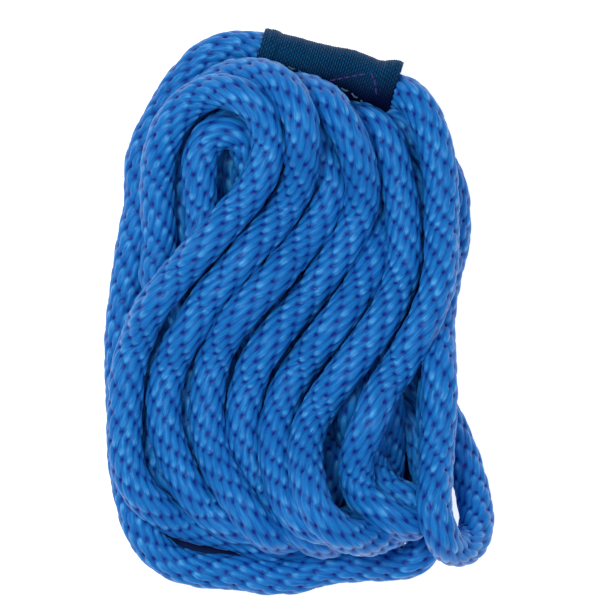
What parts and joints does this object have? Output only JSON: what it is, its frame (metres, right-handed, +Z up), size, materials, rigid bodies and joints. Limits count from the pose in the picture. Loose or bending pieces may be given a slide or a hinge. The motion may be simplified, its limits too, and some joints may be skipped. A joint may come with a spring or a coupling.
{
  "type": "tow rope handle",
  "caption": "Braided tow rope wound into a flat figure-eight hank, with a sewn webbing grip sleeve round its outer turn.",
  "frame": {"origin": "under the middle of the hank, on the surface it lies on", "axes": "+Y along the hank towards the webbing sleeve, +X across it, +Z up from the surface"},
  "size_m": [0.1389, 0.2024, 0.045],
  "materials": {
    "rope": "braided multifilament, satin sheen",
    "webbing": "ribbed woven tape, matte",
    "seam_thread": "twisted thread, satin",
    "tack_thread": "twisted thread, satin"
  },
  "bodies": {
    "rope": {"rope_hank": "rope", "rope_outer_turn": "rope", "rope_grip_run": "rope", "rope_right_turn": "rope", "rope_end_bight": "rope"},
    "sleeve": {"webbing_sleeve": "webbing", "seam_stitching": "seam_thread", "cross_stitching": "tack_thread"}
  },
  "joints": [
    {"name": "sleeve_slide", "type": "slide", "parent": "rope", "child": "sleeve", "axis": [0.9563, -0.2924, 0], "range_m": [-0.005, 0.001]}
  ]
}
